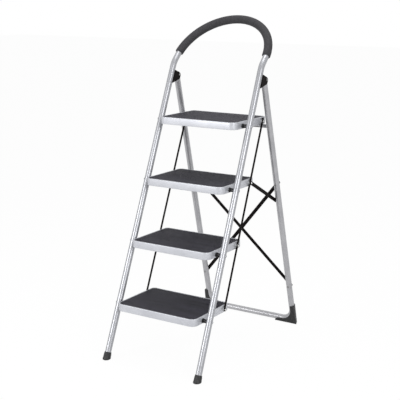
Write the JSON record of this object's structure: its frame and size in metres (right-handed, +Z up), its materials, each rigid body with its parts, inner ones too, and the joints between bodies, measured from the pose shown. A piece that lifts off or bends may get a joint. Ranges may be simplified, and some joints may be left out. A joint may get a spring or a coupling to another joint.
{
  "type": "folding step ladder",
  "caption": "Folding steel step stool with matted treads, a padded hand loop, rubber feet and a linkage that folds the treads with the rear legs.",
  "frame": {"origin": "middle of the open ladder's footprint, on the floor", "axes": "+X to the right of someone facing the ladder from its front, +Y from the front legs to the rear legs, +Z up"},
  "size_m": [0.4854, 0.8408, 1.3772],
  "materials": {
    "front_tube": "satin",
    "rear_tube": "satin",
    "tread_pan": "satin",
    "tread_mat": "matte",
    "foam_grip": "matte",
    "feet": "satin",
    "brackets": "satin",
    "bushes": "satin",
    "link_rods": "satin",
    "black_bars": "satin",
    "rivets": "satin"
  },
  "bodies": {
    "front": {"front_frame": "front_tube", "handle_grip": "foam_grip", "front_foot_left": "feet", "front_foot_right": "feet", "hinge_bracket_left": "brackets", "hinge_bracket_right": "brackets", "bracket_rivets": "rivets", "hinge_pin_left": "rivets", "hinge_pin_right": "rivets", "tread_pivot_rivets_left": "rivets", "tread_pivot_rivets_right": "rivets", "pivot_bushes_left": "bushes", "pivot_bushes_right": "bushes"},
    "rear": {"rear_frame": "rear_tube", "support_bar": "rear_tube", "brace_bar_a": "black_bars", "brace_bar_b": "black_bars", "brace_rivets": "rivets", "brace_centre_rivet": "rivets", "rear_foot_left": "feet", "rear_foot_right": "feet", "stay_rivet_left": "rivets", "stay_rivet_right": "rivets"},
    "step_1": {"tread_1": "tread_pan", "tread_mat_1": "tread_mat", "link_rivets_1": "rivets"},
    "step_2": {"tread_2": "tread_pan", "tread_mat_2": "tread_mat", "link_rivets_2": "rivets"},
    "step_3": {"tread_3": "tread_pan", "tread_mat_3": "tread_mat", "link_rivets_3": "rivets"},
    "step_4": {"tread_4": "tread_pan", "tread_mat_4": "tread_mat", "link_rivets_4": "rivets"},
    "rod_left": {"link_rod_left": "link_rods"},
    "stay_left": {"stay_link_left": "black_bars", "stay_pin_left": "rivets"},
    "rod_right": {"link_rod_right": "link_rods"},
    "stay_right": {"stay_link_right": "black_bars", "stay_pin_right": "rivets"}
  },
  "joints": [
    {"name": "rear_fold", "type": "hinge", "parent": "front", "child": "rear", "pos_m": [0, 0.10723, 1.12772], "axis": [-1, 0, 0], "range_deg": [0, 37.3]},
    {"name": "tread_1_pivot", "type": "hinge", "parent": "front", "child": "step_1", "pos_m": [0, -0.31171, 0.21952], "axis": [1, 0, 0], "range_deg": [0, 61.5]},
    {"name": "tread_2_pivot", "type": "hinge", "parent": "front", "child": "step_2", "pos_m": [0, -0.21085, 0.46303], "axis": [1, 0, 0], "range_deg": [0, 61.5]},
    {"name": "tread_3_pivot", "type": "hinge", "parent": "front", "child": "step_3", "pos_m": [0, -0.10999, 0.70652], "axis": [1, 0, 0], "range_deg": [0, 61.5]},
    {"name": "tread_4_pivot", "type": "hinge", "parent": "front", "child": "step_4", "pos_m": [0, -0.00913, 0.95003], "axis": [1, 0, 0], "range_deg": [0, 61.5]},
    {"name": "rod_left_pivot", "type": "hinge", "parent": "step_3", "child": "rod_left", "pos_m": [-0.19094, 0.04451, 0.70852], "axis": [1, 0, 0], "range_deg": [-61.5, 0]},
    {"name": "stay_left_pivot", "type": "hinge", "parent": "rear", "child": "stay_left", "pos_m": [-0.20294, 0.24716, 0.59812], "axis": [1, 0, 0], "range_deg": [-40.32, 0]},
    {"name": "rod_right_pivot", "type": "hinge", "parent": "step_3", "child": "rod_right", "pos_m": [0.19094, 0.04451, 0.70852], "axis": [1, 0, 0], "range_deg": [-61.5, 0]},
    {"name": "stay_right_pivot", "type": "hinge", "parent": "rear", "child": "stay_right", "pos_m": [0.20294, 0.24716, 0.59812], "axis": [1, 0, 0], "range_deg": [-40.32, 0]}
  ],
  "couplings": [
    {"joint": "tread_1_pivot", "follows": "rear_fold", "ratio": 1.6487},
    {"joint": "tread_2_pivot", "follows": "rear_fold", "ratio": 1.6487},
    {"joint": "tread_3_pivot", "follows": "rear_fold", "ratio": 1.6487},
    {"joint": "tread_4_pivot", "follows": "rear_fold", "ratio": 1.6487},
    {"joint": "rod_left_pivot", "follows": "rear_fold", "ratio": -1.6487},
    {"joint": "stay_left_pivot", "follows": "rear_fold", "ratio": -1.0808},
    {"joint": "rod_right_pivot", "follows": "rear_fold", "ratio": -1.6487},
    {"joint": "stay_right_pivot", "follows": "rear_fold", "ratio": -1.0808}
  ]
}
